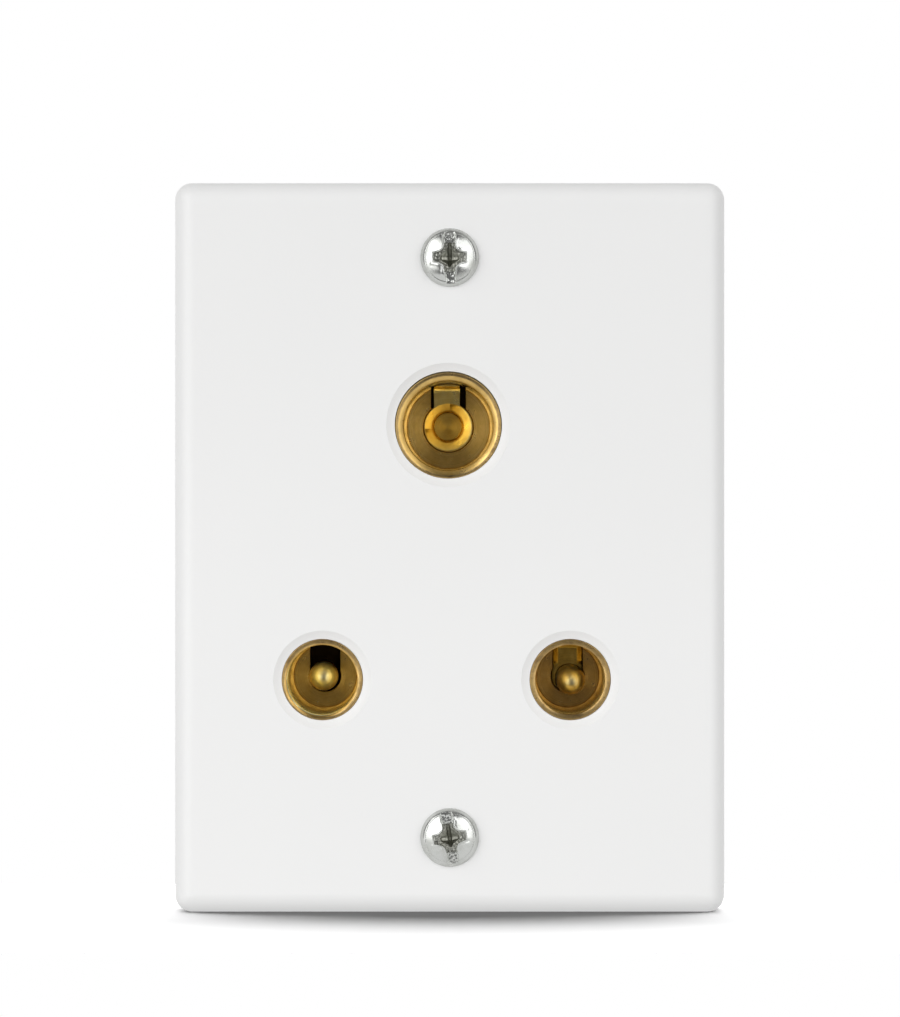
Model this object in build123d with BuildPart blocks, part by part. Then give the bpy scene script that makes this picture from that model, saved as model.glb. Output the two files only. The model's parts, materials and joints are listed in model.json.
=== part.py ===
from build123d import *
from dataclasses import dataclass
import os

# Three-pin socket outlet with a flush face plate, in millimetres.
# X is to the right seen from the front, Z is up and the front faces -Y.
# The wall plane is y = 0, where the plate's rim rests, and the origin is its centre.

# Face plate
plate_width = 56.4
plate_height = 74.8
plate_depth = 8.5
front_wall = 2.4
side_wall = 2.0
corner_radius = 1.8
edge_radius = 1.8

# Layout of the three contacts, seen from the front: they sit a little left of the plate's middle
pin_spacing = 25.4
earth_x = -0.14
earth_z = 12.56
live_middle_x = -0.35
live_z = -13.54

# Contact tubes: bore for the plug's pin, wall, bottom and collar
earth_bore_r = 4.6
earth_tube_wall = 0.8
live_bore_r = 3.55
live_tube_wall = 0.57
earth_mouth = 0.42
live_mouth = 0.24
pin_depth = 16.0
tube_bottom = 2.0
bottom_step = 0.22
step_height = 0.75
collar_width = 1.5
collar_thickness = 1.6

# Keyhole slots through the bottoms of the tubes
earth_keyhole_r = 2.65
live_keyhole_r = 1.7
earth_keyway = 3.65
live_keyway = 3.15
keyway_overcut = 0.2

# Dished apertures in the face
dish_width = 0.86
dish_depth = 0.35
earth_gap = 0.1
live_gap = 0.05
earth_drop = 0.06
cut_margin = 1.0

# Leaves: stamped plates with a key that stands up in the keyhole
leaf_thickness = 1.0
earth_key_height = 1.9
line_key_height = 0.8
earth_tab_width = 2.75
earth_tab_shift = -0.16
key_gap = 0.05
upstand_height = 0.45
upstand_thickness = 0.4
countersink_depth = 0.55
countersink_land = 0.15
channel_r = 1.3
channel_depth = 0.6

# Terminals
block_size = 9.0
block_thickness = 4.0
cheek_height = 2.4
cheek_thickness = 1.2
washer_size = 6.0
washer_thickness = 1.2
terminal_head_r = 2.9
terminal_head_height = 1.8
terminal_screw_r = 1.45
thread_gap = 0.05
earth_screw_dx = -0.06
earth_screw_dz = 0.06
line_screw_dx = 0.1
line_screw_dz = -0.12
neutral_screw_dx = -0.16
neutral_screw_dz = 0.05
earth_tip_below = 0.2
live_tip_above = 0.65
dome_height = 1.0
dome_flat_r = 0.75
recess_width = 0.8
recess_depth = 0.9

# Moulded base behind the plate
base_width = 44.0
base_height = 48.0
base_back_y = 20.0
base_corner_r = 3.0
tube_gap = 0.1
pocket_gap = 0.2
wire_slot_width = 7.4
wire_slot_floor = 1.5
barrier_height = 2.5
barrier_thickness = 1.6
core_width = 5.0
core_wall = 1.8

# Base screws and the plate bosses that they enter
base_screw_x = 17.0
base_screw_z = 6.0
base_screw_r = 1.45
base_screw_head_r = 2.75
base_screw_head_height = 2.0
base_screw_tip_gap = 0.6
base_web = 4.4
boss_wall = 1.6
boss_end_y = -0.5

# Fixing screws through the plate
screw_pitch = 59.4
screw_thread_r = 1.5
screw_shank_r = 1.3
screw_length = 25.0
screw_head_r = 3.0
screw_rim_r = 2.5
screw_crown_r = 1.2
screw_head_height = 2.4
screw_side_height = 0.9
screw_rim_height = 1.65
slot_width = 1.1
slot_depth = 0.9
cross_length = 3.3
cross_width = 0.78
cross_depth = 1.6
bottom_screw_turn = 8.0
hole_gap = 0.25
thread_start_y = 0.4
fixing_boss_wall = 1.65

# Ribs inside the plate
rib_thickness = 1.0
rib_setback = 1.2
side_rib_reach = 2.6
side_rib_pitch = 12.0

# Planes along the depth, worked out from the sizes above
front_y = -plate_depth
ceiling_y = front_y + front_wall
rim_y = front_y + dish_depth
base_front_y = ceiling_y + collar_thickness
disc_y = rim_y + pin_depth
cup_back_y = disc_y + tube_bottom
leaf_back_y = cup_back_y + leaf_thickness
block_back_y = leaf_back_y + block_thickness
washer_back_y = block_back_y + washer_thickness
head_back_y = washer_back_y + terminal_head_height
pocket_half = block_size / 2 + pocket_gap


@dataclass
class Pole:
    """One contact: its place, bore and keyhole, its terminal screw and the side its wire leaves by."""

    name: str
    x: float
    z: float
    bore_r: float
    wall: float
    mouth: float
    gap: float
    keyhole_r: float
    keyway: float
    wire_side: int
    drop: float = 0.0
    key_height: float = 0.0
    screw_dx: float = 0.0
    screw_dz: float = 0.0

    def __post_init__(self):
        self.outer_r = self.bore_r + self.wall
        self.hole_r = self.outer_r + self.gap
        self.collar_r = self.outer_r + collar_width
        self.tube_z = self.z - self.drop
        self.screw_x = self.x + self.screw_dx
        self.screw_z = self.tube_z + self.screw_dz


earth = Pole(
    name="earth",
    x=earth_x,
    z=earth_z,
    bore_r=earth_bore_r,
    wall=earth_tube_wall,
    mouth=earth_mouth,
    gap=earth_gap,
    keyhole_r=earth_keyhole_r,
    keyway=earth_keyway,
    wire_side=1,
    drop=earth_drop,
    key_height=earth_key_height,
    screw_dx=earth_screw_dx,
    screw_dz=earth_screw_dz,
)
line = Pole(
    name="line",
    x=live_middle_x + pin_spacing / 2,
    z=live_z,
    bore_r=live_bore_r,
    wall=live_tube_wall,
    mouth=live_mouth,
    gap=live_gap,
    keyhole_r=live_keyhole_r,
    keyway=live_keyway,
    wire_side=-1,
    key_height=line_key_height,
    screw_dx=line_screw_dx,
    screw_dz=line_screw_dz,
)
neutral = Pole(
    name="neutral",
    x=live_middle_x - pin_spacing / 2,
    z=live_z,
    bore_r=live_bore_r,
    wall=live_tube_wall,
    mouth=live_mouth,
    gap=live_gap,
    keyhole_r=live_keyhole_r,
    keyway=live_keyway,
    wire_side=-1,
    screw_dx=neutral_screw_dx,
    screw_dz=neutral_screw_dz,
)
poles = [earth, line, neutral]


def across(y):
    """Plane that faces the front at depth y, with local X and Y along the row's X and Z."""
    return Plane.XZ.offset(-y)


def section(x, z):
    """Half-section plane of a turned piece: local X is the radius and local Y the depth."""
    return Plane(origin=(x, 0, z), x_dir=(1, 0, 0), z_dir=(0, 0, 1))


def turning_axis(x, z):
    return Axis((x, 0, z), (0, 1, 0))


os.makedirs("parts", exist_ok=True)

# Face plate: a shell with a rounded front edge, bosses and ribs behind it
with BuildPart() as face_plate:
    with BuildSketch(across(0)):
        RectangleRounded(plate_width, plate_height, corner_radius)
    extrude(amount=plate_depth)
    fillet(face_plate.faces().sort_by(Axis.Y)[0].edges(), edge_radius)
    with BuildSketch(across(0)):
        Rectangle(plate_width - 2 * side_wall, plate_height - 2 * side_wall)
    extrude(amount=plate_depth - front_wall, mode=Mode.SUBTRACT)

    # Bosses of the fixing screws reach the wall plane, with a rib to the end wall
    with BuildSketch(across(0)):
        with GridLocations(0, screw_pitch, 1, 2):
            Circle(screw_thread_r + hole_gap + fixing_boss_wall)
    extrude(amount=-ceiling_y)
    rib_length = (plate_height - screw_pitch) / 2 - side_wall / 2
    with BuildSketch(across(-rib_setback)):
        with GridLocations(0, screw_pitch + rib_length, 1, 2):
            Rectangle(rib_thickness, rib_length)
    extrude(amount=-ceiling_y - rib_setback)

    # Side ribs stiffen the long walls beside the base
    rib_x = plate_width / 2 - side_wall - side_rib_reach / 2 + side_wall / 4
    with BuildSketch(across(-rib_setback)):
        with GridLocations(2 * rib_x, side_rib_pitch, 2, 4):
            Rectangle(side_rib_reach + side_wall / 2, rib_thickness)
    extrude(amount=-ceiling_y - rib_setback)

    # Bosses for the base screws
    with BuildSketch(across(boss_end_y)):
        with Locations((-base_screw_x, base_screw_z), (base_screw_x, base_screw_z)):
            Circle(base_screw_r + thread_gap + boss_wall)
    extrude(amount=boss_end_y - ceiling_y)
    with BuildSketch(across(boss_end_y)):
        with Locations((-base_screw_x, base_screw_z), (base_screw_x, base_screw_z)):
            Circle(base_screw_r + thread_gap)
    extrude(amount=boss_end_y - ceiling_y, mode=Mode.SUBTRACT)

    # Apertures for the tubes, each with a dish that meets the face at a crisp edge
    for pole in poles:
        dish_r = pole.hole_r + dish_width
        with BuildSketch(section(pole.x, pole.z)):
            with BuildLine():
                Polyline(
                    (pole.hole_r, rim_y),
                    (dish_r, front_y),
                    (dish_r, front_y - cut_margin),
                    (0, front_y - cut_margin),
                    (0, ceiling_y + cut_margin),
                    (pole.hole_r, ceiling_y + cut_margin),
                    close=True,
                )
            make_face()
        revolve(axis=turning_axis(pole.x, pole.z), mode=Mode.SUBTRACT)

    # Clearance holes of the fixing screws
    with BuildSketch(across(0)):
        with GridLocations(0, screw_pitch, 1, 2):
            Circle(screw_thread_r + hole_gap)
    extrude(amount=plate_depth, mode=Mode.SUBTRACT)
face_plate.part.label = "face_plate"
export_step(face_plate.part, "parts/face_plate.step")

# Rear base: one moulded block with a stepped bore and an open terminal chamber for each pole
with BuildPart() as rear_base:
    with BuildSketch(across(base_front_y)):
        RectangleRounded(base_width, base_height, base_corner_r)
    extrude(amount=base_front_y - base_back_y)

    # T-shaped barrier on the back keeps the three terminals apart
    chamber_end = live_z + block_size / 2 + pocket_gap
    barrier_z = (chamber_end + earth_z - pocket_half) / 2
    with BuildSketch(across(base_back_y)):
        with Locations((0, barrier_z)):
            Rectangle(base_width, barrier_thickness)
        with Locations((0, (barrier_z - base_height / 2) / 2)):
            Rectangle(barrier_thickness, barrier_z + base_height / 2)
    extrude(amount=-barrier_height)
    chamfer(rear_base.faces().sort_by(Axis.Y)[-1].edges(), barrier_thickness / 4)

    for pole in poles:
        # Bore of the tube, down to the shoulder that the leaf seats on
        with BuildSketch(across(base_front_y)):
            with Locations((pole.x, pole.z)):
                Circle(pole.outer_r + tube_gap)
        extrude(amount=base_front_y - cup_back_y, mode=Mode.SUBTRACT)
        # Chamber of the leaf and the terminal block, and the slot that the wire comes in by
        with BuildSketch(across(cup_back_y)):
            with Locations((pole.x, pole.z)):
                Rectangle(2 * pocket_half, 2 * pocket_half)
        extrude(amount=cup_back_y - base_back_y, mode=Mode.SUBTRACT)
        slot_length = base_height / 2 - pole.wire_side * pole.z
        with BuildSketch(across(leaf_back_y + wire_slot_floor)):
            with Locations((pole.x, pole.z + pole.wire_side * slot_length / 2)):
                Rectangle(wire_slot_width, slot_length)
        extrude(amount=leaf_back_y + wire_slot_floor - base_back_y, mode=Mode.SUBTRACT)

    # Core-out between the line and neutral chambers, so that the walls are even
    core_height = 2 * pocket_half
    with BuildSketch(across(base_front_y + core_wall)):
        with GridLocations(core_width + barrier_thickness, 0, 2, 1):
            with Locations((0, live_z)):
                Rectangle(core_width, core_height)
    extrude(amount=base_front_y + core_wall - base_back_y, mode=Mode.SUBTRACT)

    # Sockets for the plate's bosses, holes of the base screws and their deep counterbores
    web_front_y = boss_end_y + tube_gap
    with BuildSketch(across(base_front_y)):
        with Locations((-base_screw_x, base_screw_z), (base_screw_x, base_screw_z)):
            Circle(base_screw_r + thread_gap + boss_wall + tube_gap)
    extrude(amount=base_front_y - web_front_y, mode=Mode.SUBTRACT)
    with BuildSketch(across(web_front_y)):
        with Locations((-base_screw_x, base_screw_z), (base_screw_x, base_screw_z)):
            Circle(base_screw_r + hole_gap)
    extrude(amount=-base_web, mode=Mode.SUBTRACT)
    with BuildSketch(across(web_front_y + base_web)):
        with Locations((-base_screw_x, base_screw_z), (base_screw_x, base_screw_z)):
            Circle(base_screw_head_r + hole_gap)
    extrude(amount=web_front_y + base_web - base_back_y, mode=Mode.SUBTRACT)
rear_base.part.label = "rear_base"
export_step(rear_base.part, "parts/rear_base.step")

for pole in poles:
    step_y = disc_y - step_height
    floor_r = pole.bore_r - bottom_step
    keyway_end_r = pole.bore_r + keyway_overcut

    # Contact tube: a turned cup with a collar, a chamfered mouth and a keyhole in its bottom
    with BuildPart() as tube:
        with BuildSketch(section(pole.x, pole.tube_z)):
            with BuildLine():
                Polyline(
                    (0, cup_back_y),
                    (pole.outer_r, cup_back_y),
                    (pole.outer_r, base_front_y),
                    (pole.collar_r, base_front_y),
                    (pole.collar_r, ceiling_y),
                    (pole.outer_r, ceiling_y),
                    (pole.outer_r, rim_y),
                    (pole.bore_r + pole.mouth, rim_y),
                    (pole.bore_r, rim_y + pole.mouth),
                    (pole.bore_r, step_y),
                    (floor_r, disc_y),
                    (0, disc_y),
                    close=True,
                )
            make_face()
        revolve(axis=turning_axis(pole.x, pole.tube_z))
        with BuildSketch(across(step_y)):
            with Locations((pole.x, pole.tube_z)):
                Circle(pole.keyhole_r)
                Rectangle(pole.keyway, keyway_end_r, align=(Align.CENTER, Align.MIN))
                Circle(keyway_end_r, mode=Mode.INTERSECT)
        extrude(amount=step_y - cup_back_y, mode=Mode.SUBTRACT)
    tube.part.label = f"{pole.name}_tube"
    export_step(tube.part, f"parts/{pole.name}_tube.step")

    # Leaf: a stamped plate behind the cup, with the key that each pole has in its keyhole
    key_front_y = cup_back_y - pole.key_height
    key_end_r = pole.bore_r - key_gap
    with BuildPart() as leaf:
        with BuildSketch(across(cup_back_y)):
            with Locations((pole.x, pole.tube_z)):
                Rectangle(block_size, block_size)
                if pole is neutral:
                    Rectangle(
                        pole.keyway,
                        block_size / 2,
                        align=(Align.CENTER, Align.MIN),
                        mode=Mode.SUBTRACT,
                    )
        extrude(amount=-leaf_thickness)
        if pole.key_height > 0:
            tab_width = earth_tab_width if pole is earth else pole.keyway - 2 * key_gap
            tab_x = pole.x + (earth_tab_shift if pole is earth else 0)
            with BuildSketch(across(cup_back_y)):
                with Locations((tab_x, pole.tube_z)):
                    Rectangle(tab_width, pole.bore_r, align=(Align.CENTER, Align.MIN))
                with Locations((pole.x, pole.tube_z)):
                    Circle(key_end_r, mode=Mode.INTERSECT)
                    Circle(pole.keyhole_r - key_gap)
            extrude(amount=pole.key_height)
        if pole is earth:
            # The tab's end turns up along the wall, and the eyelet is countersunk
            with BuildSketch(across(key_front_y)):
                with Locations((tab_x, pole.tube_z)):
                    Rectangle(tab_width, pole.bore_r, align=(Align.CENTER, Align.MIN))
                with Locations((pole.x, pole.tube_z)):
                    Circle(key_end_r, mode=Mode.INTERSECT)
                    Circle(key_end_r - upstand_thickness, mode=Mode.SUBTRACT)
            extrude(amount=upstand_height)
            cone_r = pole.keyhole_r - key_gap - countersink_land
            hole_r = terminal_screw_r + thread_gap
            with BuildSketch(section(pole.screw_x, pole.screw_z)):
                with BuildLine():
                    Polyline(
                        (0, key_front_y),
                        (cone_r, key_front_y),
                        (hole_r, key_front_y + countersink_depth),
                        (0, key_front_y + countersink_depth),
                        close=True,
                    )
                make_face()
            revolve(axis=turning_axis(pole.screw_x, pole.screw_z), mode=Mode.SUBTRACT)
        if pole is line:
            # A round-bottomed channel runs up the tab
            channel_y = key_front_y + channel_depth - channel_r
            with BuildSketch(Plane.XY.offset(pole.tube_z)):
                with Locations((pole.x, channel_y)):
                    Circle(channel_r)
            extrude(amount=pole.bore_r, mode=Mode.SUBTRACT)
        with BuildSketch(across(key_front_y)):
            with Locations((pole.screw_x, pole.screw_z)):
                Circle(terminal_screw_r + thread_gap)
        extrude(amount=key_front_y - leaf_back_y, mode=Mode.SUBTRACT)
    leaf.part.label = f"{pole.name}_leaf"
    export_step(leaf.part, f"parts/{pole.name}_leaf.step")

    # Terminal block: threaded for its screw, with two cheeks that keep the wire in
    with BuildPart() as block:
        with BuildSketch(across(leaf_back_y)):
            with Locations((pole.x, pole.tube_z)):
                Rectangle(block_size, block_size)
        extrude(amount=-block_thickness)
        with BuildSketch(across(block_back_y)):
            with Locations((pole.x, pole.tube_z)):
                with GridLocations(block_size - cheek_thickness, 0, 2, 1):
                    Rectangle(cheek_thickness, block_size)
        extrude(amount=-cheek_height)
        cheek_tops = block.faces().filter_by(Axis.Y).sort_by(Axis.Y)[-2:]
        chamfer(cheek_tops.edges().filter_by(Axis.Z), cheek_thickness / 4)
        with BuildSketch(across(leaf_back_y)):
            with Locations((pole.screw_x, pole.screw_z)):
                Circle(terminal_screw_r + thread_gap)
        extrude(amount=-block_thickness, mode=Mode.SUBTRACT)
    block.part.label = f"{pole.name}_terminal_block"
    export_step(block.part, f"parts/{pole.name}_terminal_block.step")

    # Clamp washer: square, so that the cheeks stop it from turning
    with BuildPart() as washer:
        with BuildSketch(across(block_back_y)):
            with Locations((pole.screw_x, pole.screw_z)):
                Rectangle(washer_size, washer_size)
                Circle(terminal_screw_r + 2 * thread_gap, mode=Mode.SUBTRACT)
        extrude(amount=-washer_thickness)
        chamfer(washer.edges().filter_by(Axis.Y).group_by(Edge.length)[-1], washer_thickness / 2)
    washer.part.label = f"{pole.name}_clamp_washer"
    export_step(washer.part, f"parts/{pole.name}_clamp_washer.step")

    # Terminal screw: its end shows in the keyhole, flat in the earth tube and domed in the others
    with BuildPart() as terminal_screw:
        with BuildSketch(section(pole.screw_x, pole.screw_z)):
            with BuildLine():
                if pole is earth:
                    tip_y = key_front_y + earth_tip_below
                    Polyline((0, tip_y), (terminal_screw_r, tip_y), (terminal_screw_r, washer_back_y))
                else:
                    tip_y = disc_y - live_tip_above
                    Polyline(
                        (0, tip_y),
                        (dome_flat_r, tip_y),
                        (terminal_screw_r, tip_y + dome_height),
                        (terminal_screw_r, washer_back_y),
                    )
                Polyline(
                    (terminal_screw_r, washer_back_y),
                    (terminal_head_r, washer_back_y),
                    (terminal_head_r, head_back_y),
                    (0, head_back_y),
                    (0, tip_y),
                )
            make_face()
        revolve(axis=turning_axis(pole.screw_x, pole.screw_z))
        with BuildSketch(across(head_back_y)):
            with Locations((pole.screw_x, pole.screw_z)):
                Rectangle(recess_width, 2 * terminal_head_r)
        extrude(amount=recess_depth, mode=Mode.SUBTRACT)
    terminal_screw.part.label = f"{pole.name}_terminal_screw"
    export_step(terminal_screw.part, f"parts/{pole.name}_terminal_screw.step")

# Fixing screws: pan heads with a slot and a cross, a reduced shank and a rolled thread
for place, side, turn in (("top", 1, 0.0), ("bottom", -1, bottom_screw_turn)):
    z = side * screw_pitch / 2
    tip_y = front_y + screw_length
    with BuildPart() as fixing_screw:
        with BuildSketch(section(0, z)):
            with BuildLine():
                Polyline(
                    (0, front_y - screw_head_height),
                    (screw_crown_r, front_y - screw_head_height),
                    (screw_rim_r, front_y - screw_rim_height),
                    (screw_head_r, front_y - screw_side_height),
                    (screw_head_r, front_y),
                    (screw_shank_r, front_y),
                    (screw_shank_r, thread_start_y),
                    (screw_thread_r, thread_start_y),
                    (screw_thread_r, tip_y),
                    (0, tip_y),
                    close=True,
                )
            make_face()
        revolve(axis=turning_axis(0, z))
        with BuildSketch(across(front_y - screw_head_height)):
            with Locations((0, z)):
                Rectangle(slot_width, 2 * screw_head_r, rotation=turn)
        extrude(amount=-slot_depth, mode=Mode.SUBTRACT)
        with BuildSketch(across(front_y - screw_head_height)):
            with Locations((0, z)):
                Rectangle(cross_length, cross_width, rotation=turn)
                Rectangle(cross_width, cross_length, rotation=turn)
        extrude(amount=-cross_depth, mode=Mode.SUBTRACT)
    fixing_screw.part.label = f"mounting_screw_{place}"
    export_step(fixing_screw.part, f"parts/mounting_screw_{place}.step")

# Base screws: driven from the back, through the base's webs into the plate's bosses
seat_y = web_front_y + base_web
for place, side in (("left", -1), ("right", 1)):
    x = side * base_screw_x
    with BuildPart() as base_screw:
        with BuildSketch(section(x, base_screw_z)):
            with BuildLine():
                Polyline(
                    (0, ceiling_y + base_screw_tip_gap),
                    (base_screw_r, ceiling_y + base_screw_tip_gap),
                    (base_screw_r, seat_y),
                    (base_screw_head_r, seat_y),
                    (base_screw_head_r, seat_y + base_screw_head_height),
                    (0, seat_y + base_screw_head_height),
                    close=True,
                )
            make_face()
        revolve(axis=turning_axis(x, base_screw_z))
        with BuildSketch(across(seat_y + base_screw_head_height)):
            with Locations((x, base_screw_z)):
                Rectangle(recess_width, 2 * base_screw_head_r)
        extrude(amount=recess_depth, mode=Mode.SUBTRACT)
    base_screw.part.label = f"base_screw_{place}"
    export_step(base_screw.part, f"parts/base_screw_{place}.step")
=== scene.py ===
import json
import math

import bmesh
import bpy
import numpy as np
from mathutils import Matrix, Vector


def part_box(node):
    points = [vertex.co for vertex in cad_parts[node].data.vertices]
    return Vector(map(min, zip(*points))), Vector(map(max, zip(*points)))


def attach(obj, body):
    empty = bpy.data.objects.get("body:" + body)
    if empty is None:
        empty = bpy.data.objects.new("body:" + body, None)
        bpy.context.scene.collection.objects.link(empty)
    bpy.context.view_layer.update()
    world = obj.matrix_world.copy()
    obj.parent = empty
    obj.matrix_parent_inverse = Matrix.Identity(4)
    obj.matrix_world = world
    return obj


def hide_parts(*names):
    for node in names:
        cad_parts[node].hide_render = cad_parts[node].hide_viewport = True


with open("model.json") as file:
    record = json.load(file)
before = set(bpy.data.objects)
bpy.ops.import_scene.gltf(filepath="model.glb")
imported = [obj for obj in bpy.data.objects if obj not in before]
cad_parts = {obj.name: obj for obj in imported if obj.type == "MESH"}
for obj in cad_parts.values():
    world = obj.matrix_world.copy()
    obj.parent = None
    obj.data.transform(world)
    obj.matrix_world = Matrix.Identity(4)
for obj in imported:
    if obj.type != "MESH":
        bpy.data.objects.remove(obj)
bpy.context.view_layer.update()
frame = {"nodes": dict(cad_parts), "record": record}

# Face plate
# One white thermoplastic moulding, open at the back, with a rounded front edge. Each pin hole
# has a shallow dish round it, and the bosses behind take the fixing and the base screws.
mm = 0.001
plate_low, plate_high = (np.array(corner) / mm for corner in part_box("face_plate"))
plate_front, wall_plane = plate_low[1], plate_high[1]
ceiling_behind_tubes = 2.05
plate_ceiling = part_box("earth_tube")[0].y / mm + ceiling_behind_tubes
plate_wall = 2.0
plan_radius = 1.75
edge_radius = 2.0
rim_rounding = 0.15
earth_hole_radius = 5.5
live_hole_radius = 4.17
dish_width = 0.86
dish_depth = 0.44
dish_power = 1.25
lattice_step = 0.5
mounts = {mount["name"]: mount for mount in frame["record"]["mounts"]}
screw_pitch = mounts["fixing_studs"]["dims"]["spacing_y_mm"]
screw_hole_radius = 1.75
screw_boss_radius = 3.4
base_screw_x, _, base_screw_z = sum(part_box("base_screw_right"), Vector()) / 2 / mm
base_boss_radius = 3.1
base_boss_hole = 1.5
base_boss_end = -0.5
weld_distance = 2e-7


def contact(cad_node, mount):
    """Centre, bore radius and collar radius of a contact tube, from its CAD node and pin mount."""
    low, high = (np.array(corner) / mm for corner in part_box(cad_node))
    return (low + high) / 2, mounts[mount]["dims"]["r_mm"], (high[2] - low[2]) / 2


def lines(keys, step):
    """Lattice lines from the first key to the last, about a step apart, with one on each key."""
    spans = [
        np.linspace(a, b, max(1, round((b - a) / step)), endpoint=False)
        for a, b in zip(keys, keys[1:])
    ]
    return np.concatenate(spans + [keys[-1:]])


def quads(index, wrap_rows=False, wrap_columns=False):
    """Four-sided faces between the neighbours in a grid of vertex numbers."""
    if wrap_rows:
        index = np.vstack([index, index[:1]])
    if wrap_columns:
        index = np.hstack([index, index[:, :1]])
    corners = [index[:-1, :-1], index[1:, :-1], index[1:, 1:], index[:-1, 1:]]
    return np.stack(corners, axis=-1).reshape(-1, 4)


def piece(name, shells, material, cad_node, crease):
    """One object in place of a CAD node, from shells that are each (points in millimetres, faces).

    Points that coincide are merged, so seams and poles close, and the faces are turned outwards.
    Edges sharper than crease, in degrees, stay sharp.
    """
    starts = np.cumsum([0] + [len(points) for points, _ in shells])
    points = np.vstack([points for points, _ in shells]) * mm
    faces = np.vstack([faces + start for (_, faces), start in zip(shells, starts)])
    mesh = bpy.data.meshes.new(name)
    mesh.vertices.add(len(points))
    mesh.vertices.foreach_set("co", points.ravel())
    mesh.loops.add(faces.size)
    mesh.loops.foreach_set("vertex_index", faces.ravel().astype(np.int32))
    mesh.polygons.add(len(faces))
    mesh.polygons.foreach_set("loop_start", np.arange(0, faces.size, 4, dtype=np.int32))
    mesh.update(calc_edges=True)
    made = bmesh.new()
    made.from_mesh(mesh)
    bmesh.ops.remove_doubles(made, verts=made.verts, dist=weld_distance)
    bmesh.ops.recalc_face_normals(made, faces=made.faces)
    made.to_mesh(mesh)
    made.free()
    mesh.shade_smooth()
    mesh.set_sharp_from_angle(angle=math.radians(crease))
    mesh.materials.append(material)
    obj = bpy.data.objects.new(name, mesh)
    bpy.context.scene.collection.objects.link(obj)
    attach(obj, "root")
    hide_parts(cad_node)


def principled(name, **values):
    """A material with a Principled shader, whose sockets are set by name, with spaces as _."""
    material = bpy.data.materials.new(name)
    material.use_nodes = True
    shader = material.node_tree.nodes["Principled BSDF"]
    for socket, value in values.items():
        shader.inputs[socket.replace("_", " ")].default_value = value
    return material, material.node_tree, shader


def node(tree, kind, links=(), **settings):
    """A shader node with its settings, and links as {input: value, or socket to link from}."""
    made = tree.nodes.new(kind)
    for key, value in settings.items():
        setattr(made, key, value)
    for key, value in dict(links).items():
        if isinstance(value, bpy.types.NodeSocket):
            tree.links.new(value, made.inputs[key])
        else:
            made.inputs[key].default_value = value
    return made


def math_node(tree, operation, a, b=0.0, c=0.0):
    """The result of a Math node."""
    return node(tree, "ShaderNodeMath", {0: a, 1: b, 2: c}, operation=operation).outputs[0]


def noise(tree, position, scale, detail=2.0, roughness=0.5):
    """Noise in three dimensions, between 0 and 1."""
    links = {"Vector": position, "Scale": scale, "Detail": detail, "Roughness": roughness}
    return node(tree, "ShaderNodeTexNoise", links).outputs[0]


def mix_colour(tree, share, first, second):
    """The colour that lies a share of the way from the first to the second, each RGB or a socket."""
    first, second = (
        colour if isinstance(colour, bpy.types.NodeSocket) else (*colour, 1) for colour in (first, second)
    )
    return node(tree, "ShaderNodeMix", {0: share, 6: first, 7: second}, data_type="RGBA").outputs[2]


def new_group(name, inputs, outputs):
    """A node group with (name, kind) inputs and named outputs, and its two end nodes."""
    group = bpy.data.node_groups.new(name, "ShaderNodeTree")
    for socket, kind in inputs:
        group.interface.new_socket(socket, in_out="INPUT", socket_type=f"NodeSocket{kind}")
    for socket in outputs:
        group.interface.new_socket(socket, in_out="OUTPUT", socket_type="NodeSocketFloat")
    return group, group.nodes.new("NodeGroupInput"), group.nodes.new("NodeGroupOutput")


def moulded_group():
    """Moulded skin: a slow waviness and a fine grain, as a height, with a faint change of shade."""
    group, come, go = new_group(
        "moulded_skin", [("Position", "Vector"), ("Grain", "Float")], ["Height", "Shade"]
    )
    slow = noise(group, come.outputs["Position"], 60.0)
    fine = noise(group, come.outputs["Position"], come.outputs["Grain"], 4.0, 0.6)
    group.links.new(math_node(group, "MULTIPLY_ADD", fine, 0.35, slow), go.inputs["Height"])
    group.links.new(slow, go.inputs["Shade"])
    return group


def moulded(name, colour, tint, grain, depth, **values):
    """A moulded plastic: its colour drifts a little to the tint, over a grain of that depth."""
    material, tree, shader = principled(name, **values)
    place = node(tree, "ShaderNodeTexCoord").outputs["Object"]
    skin = node(tree, "ShaderNodeGroup", node_tree=moulded_skin)
    tree.links.new(place, skin.inputs["Position"])
    skin.inputs["Grain"].default_value = grain
    tree.links.new(mix_colour(tree, skin.outputs["Shade"], colour, tint), shader.inputs["Base Color"])
    bump = node(tree, "ShaderNodeBump", {"Height": skin.outputs["Height"], "Distance": depth})
    tree.links.new(bump.outputs[0], shader.inputs["Normal"])
    return material


moulded_skin = moulded_group()
white_plastic = moulded(
    "white_moulding", colour=(0.845, 0.845, 0.84), tint=(0.83, 0.83, 0.825), grain=2600.0, depth=0.00001,
    Roughness=0.46, IOR=1.5,
)

poles = ("earth", "line", "neutral")
contacts = {name: contact(f"{name}_tube", f"{name}_pin_socket") for name in poles}
flat_half = np.array([plate_high[0], plate_high[2]]) - edge_radius
earth_centre, line_centre, neutral_centre = (contacts[name][0] for name in contacts)
aperture_lift = 0.06
plate_earth_z = earth_centre[2] + aperture_lift
keys_x = [-flat_half[0], -base_screw_x, neutral_centre[0], 0, line_centre[0], base_screw_x, flat_half[0]]
keys_z = [
    -flat_half[1], -screw_pitch / 2, line_centre[2], base_screw_z,
    plate_earth_z, screw_pitch / 2, flat_half[1],
]
lines_x = lines(np.array(keys_x), lattice_step)
lines_z = lines(np.array(keys_z), lattice_step)


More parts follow.
